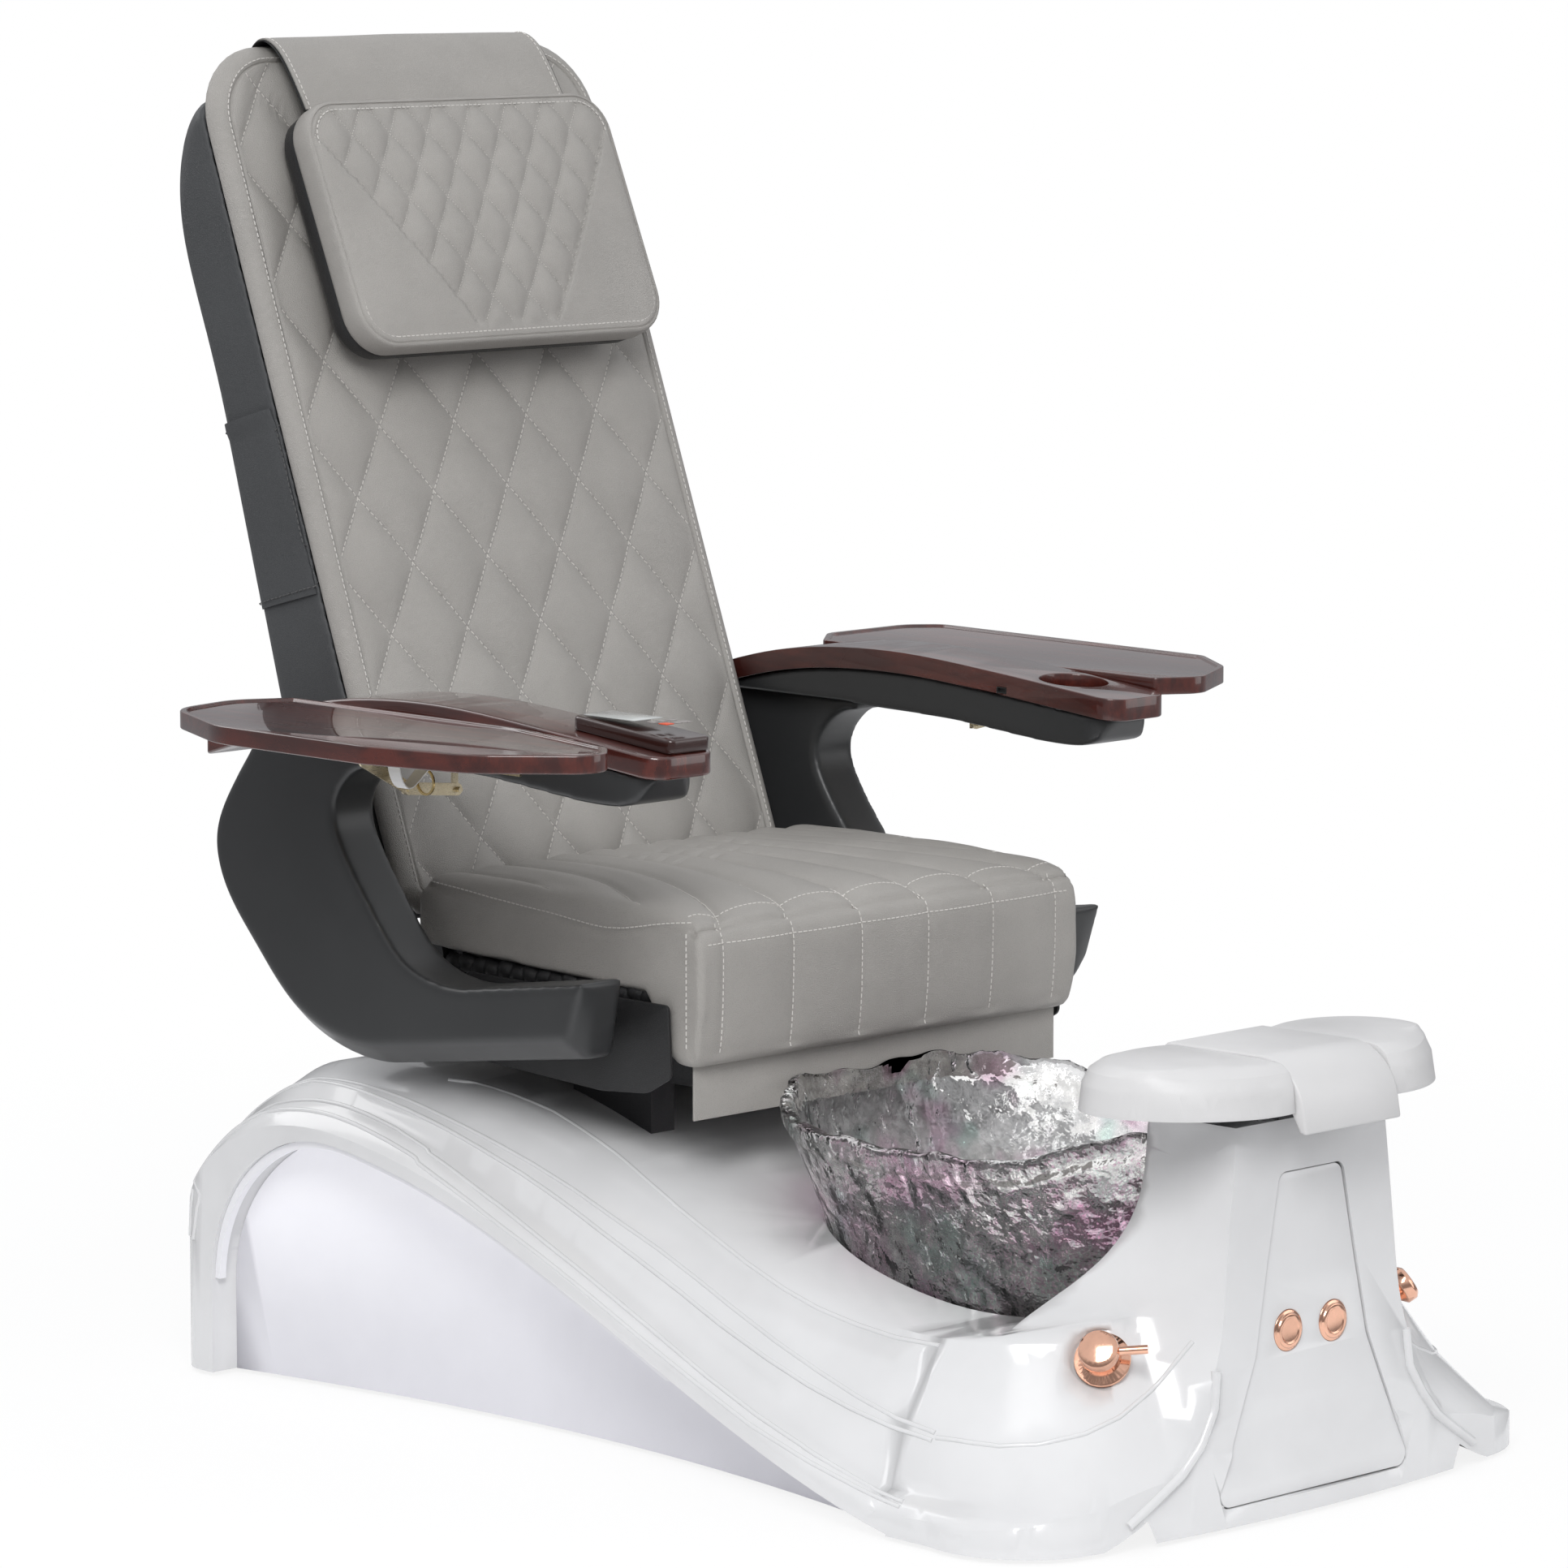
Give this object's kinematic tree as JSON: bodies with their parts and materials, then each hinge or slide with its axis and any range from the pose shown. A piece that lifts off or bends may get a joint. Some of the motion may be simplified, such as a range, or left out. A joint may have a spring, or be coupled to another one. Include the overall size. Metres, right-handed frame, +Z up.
{
  "type": "pedicure spa chair",
  "caption": "Reclining massage chair with quilted back, folding side trays and cup holder on a sliding seat over a lit foot spa base with glass bowl, mixer, hand shower and footrest",
  "frame": {"origin": "middle of the floor footprint's bounding box, on the floor", "axes": "+X to the sitter's left, +Y to the rear, +Z up"},
  "size_m": [1.2075, 1.4901, 1.4493],
  "materials": {
    "white_shell": "gloss white gel coat",
    "lit_panel": "translucent white, lit from behind",
    "light_strip": "white light strip, lit",
    "bowl_glass": "smoky clear rippled glass",
    "frame_steel": "black powder coat",
    "rubber": "black rubber",
    "drain_plastic": "black waste fitting",
    "motor_black": "black painted motor case",
    "control_plastic": "black box",
    "rod_steel": "bright steel",
    "copper": "polished rose copper",
    "seat_leather": "grey leather",
    "skirt_grey": "grey leather skirt",
    "skirt_black": "black leather skirt",
    "arm_black": "satin black",
    "arm_wood": "dark red-brown gloss lacquer",
    "socket_black": "black socket",
    "remote_brown": "dark brown gloss",
    "zinc": "yellow zinc",
    "strap_white": "white webbing",
    "ring_brass": "brass ring",
    "pad_white": "white moulded foam",
    "back_black": "charcoal leather shell",
    "back_leather": "grey quilted leather",
    "strap_grey": "grey leather strap, black lining",
    "roller_rubber": "dark rubber"
  },
  "bodies": {
    "root": {"glass_bowl": "bowl_glass", "side_panels": "lit_panel", "light_strips": "light_strip", "base_shell": "white_shell", "access_panel": "white_shell", "base_frame": "frame_steel", "levelling_feet": "rubber", "drain": "drain_plastic", "jet_motor": "motor_black", "control_box": "control_plastic", "button_housings": "control_plastic", "mixer_body": "copper", "shower_holder": "copper", "lower_rails": "frame_steel", "slide_motor": "motor_black", "footrest_bracket": "rod_steel", "fill_spout": "copper"},
    "seat": {"slide_rod": "rod_steel", "seat_frame": "frame_steel", "seat_cushion": "seat_leather", "front_skirt": "skirt_grey", "side_skirts": "skirt_black", "arm_shell_left": "arm_black", "arm_shell_right": "arm_black", "arm_top_left": "arm_wood", "arm_top_right": "arm_wood", "usb_socket": "socket_black", "arm_housing_left": "arm_black", "arm_housing_right": "arm_black", "remote": "remote_brown", "brace_bracket_left": "zinc", "brace_bracket_right": "zinc", "recline_motor": "motor_black"},
    "back": {"back_frame": "frame_steel", "back_shell": "back_black", "back_cushion": "back_leather", "pillow": "back_leather", "pillow_strap": "strap_grey", "massage_rails": "rod_steel"},
    "recline_rod": {"recline_rod": "rod_steel"},
    "massage_carriage": {"massage_carriage": "motor_black"},
    "massage_rollers": {"massage_rollers": "roller_rubber"},
    "tray_right": {"tray_right": "arm_wood", "tray_plate_right": "zinc", "release_strap": "strap_white", "release_ring": "ring_brass"},
    "tray_left": {"tray_left": "arm_wood", "tray_plate_left": "zinc"},
    "brace_lower_right": {"brace_lower_right": "zinc"},
    "brace_upper_right": {"brace_upper_right": "zinc"},
    "brace_lower_left": {"brace_lower_left": "zinc"},
    "brace_upper_left": {"brace_upper_left": "zinc"},
    "footrest": {"footrest_slide": "frame_steel", "centre_pad": "pad_white", "wing_left": "pad_white", "wing_right": "pad_white"},
    "mixer_handle": {"mixer_handle": "copper"},
    "hand_shower": {"hand_shower": "copper"},
    "jet_button": {"jet_button": "copper"},
    "light_button": {"light_button": "copper"}
  },
  "joints": [
    {"name": "seat_slide", "type": "slide", "parent": "root", "child": "seat", "axis": [0, 1, 0], "range_m": [0, 0.12]},
    {"name": "back_recline", "type": "hinge", "parent": "seat", "child": "back", "pos_m": [0, 0.392, 0.468], "axis": [-1, 0, 0], "range_deg": [0, 30]},
    {"name": "recline_rod_slide", "type": "slide", "parent": "seat", "child": "recline_rod", "axis": [0, -1, 0], "range_m": [0, 0.0305]},
    {"name": "massage_travel", "type": "slide", "parent": "back", "child": "massage_carriage", "axis": [0, 0.3469, 0.9379], "range_m": [0, 0.35]},
    {"name": "roller_spin", "type": "hinge", "parent": "massage_carriage", "child": "massage_rollers", "pos_m": [0, 0.46026, 0.69864], "axis": [1, 0, 0], "continuous": true},
    {"name": "tray_fold_right", "type": "hinge", "parent": "seat", "child": "tray_right", "pos_m": [-0.394, 0.15, 0.737], "axis": [0, -1, 0], "range_deg": [0, 90]},
    {"name": "brace_lower_turn_right", "type": "hinge", "parent": "seat", "child": "brace_lower_right", "pos_m": [-0.3895, 0.155, 0.688], "axis": [0, -1, 0], "range_deg": [0, 155.6]},
    {"name": "brace_upper_turn_right", "type": "hinge", "parent": "tray_right", "child": "brace_upper_right", "pos_m": [-0.52, 0.1515, 0.73], "axis": [0, -1, 0], "range_deg": [-26.2, 0]},
    {"name": "tray_fold_left", "type": "hinge", "parent": "seat", "child": "tray_left", "pos_m": [0.394, 0.15, 0.737], "axis": [0, 1, 0], "range_deg": [0, 90]},
    {"name": "brace_lower_turn_left", "type": "hinge", "parent": "seat", "child": "brace_lower_left", "pos_m": [0.3895, 0.155, 0.688], "axis": [0, 1, 0], "range_deg": [0, 155.6]},
    {"name": "brace_upper_turn_left", "type": "hinge", "parent": "tray_left", "child": "brace_upper_left", "pos_m": [0.52, 0.1515, 0.73], "axis": [0, 1, 0], "range_deg": [-26.2, 0]},
    {"name": "footrest_slide", "type": "slide", "parent": "root", "child": "footrest", "axis": [0, -1, 0], "range_m": [-0.03, 0.06]},
    {"name": "mixer_turn", "type": "hinge", "parent": "root", "child": "mixer_handle", "pos_m": [-0.2146, -0.6034, 0.174], "axis": [-0.7065, -0.4588, 0.5388], "range_deg": [-50, 50]},
    {"name": "shower_pull", "type": "slide", "parent": "root", "child": "hand_shower", "axis": [0.7065, -0.4588, 0.5388], "range_m": [0, 0.06]},
    {"name": "jet_press", "type": "slide", "parent": "root", "child": "jet_button", "axis": [0, 1, 0], "range_m": [0, 0.004], "stiffness_N_per_m": 600},
    {"name": "light_press", "type": "slide", "parent": "root", "child": "light_button", "axis": [0, 1, 0], "range_m": [0, 0.004], "stiffness_N_per_m": 600}
  ],
  "couplings": [
    {"joint": "recline_rod_slide", "follows": "back_recline", "m_per_rad": 0.057296},
    {"joint": "brace_lower_turn_right", "follows": "tray_fold_right", "ratio": 1.7179},
    {"joint": "brace_upper_turn_right", "follows": "tray_fold_right", "ratio": -0.28022},
    {"joint": "brace_lower_turn_left", "follows": "tray_fold_left", "ratio": 1.7179},
    {"joint": "brace_upper_turn_left", "follows": "tray_fold_left", "ratio": -0.28022}
  ]
}
